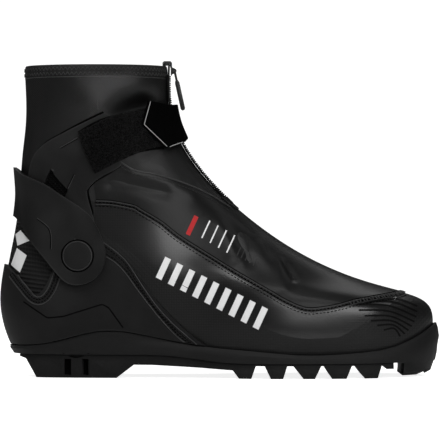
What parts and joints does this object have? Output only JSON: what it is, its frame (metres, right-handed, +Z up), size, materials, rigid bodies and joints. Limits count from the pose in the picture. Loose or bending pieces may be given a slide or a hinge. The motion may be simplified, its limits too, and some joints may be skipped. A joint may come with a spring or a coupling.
{
  "type": "cross country ski boot",
  "caption": "Black ankle-high cross country ski boot for the right foot, with hinged-look cuff, strap, front zip, heel counter and lugged sole with a toe bar for the binding.",
  "frame": {"origin": "on the ground, under the middle of the boot's bounding box", "axes": "+X from heel to toe, +Z up, the outer (lateral) side towards -Y"},
  "size_m": [0.3056, 0.1, 0.2182],
  "materials": {
    "upper": "black softshell and leatherette",
    "insole": "dark felt",
    "sole_unit": "satin moulded",
    "outsole": "matt moulded",
    "steel_bar": "ground",
    "counter": "fine moulded grain",
    "cuff_band": "satin moulded",
    "cuff_arm": "satin moulded",
    "rivet": "satin",
    "loop_strap": "brushed pile",
    "hook_strap": "coated webbing",
    "zip": "coated zip tape",
    "slider": "black enamel",
    "pull": "moulded"
  },
  "bodies": {
    "boot": {"upper": "upper", "insole": "insole", "sole_unit": "sole_unit", "outsole": "outsole", "binding_bar": "steel_bar", "heel_counter": "counter", "cuff_band": "cuff_band", "cuff_arm_outer": "cuff_arm", "cuff_arm_inner": "cuff_arm", "rivet_outer": "rivet", "rivet_inner": "rivet", "strap_loop": "loop_strap", "strap_hook": "hook_strap", "zip": "zip", "zip_slider": "slider"},
    "pull": {"zip_pull": "pull"}
  },
  "joints": [
    {"name": "zip_pull_swing", "type": "hinge", "parent": "boot", "child": "pull", "pos_m": [-0.03147, 0.00036, 0.2116], "axis": [0, -1, 0], "range_deg": [0, 140]}
  ]
}
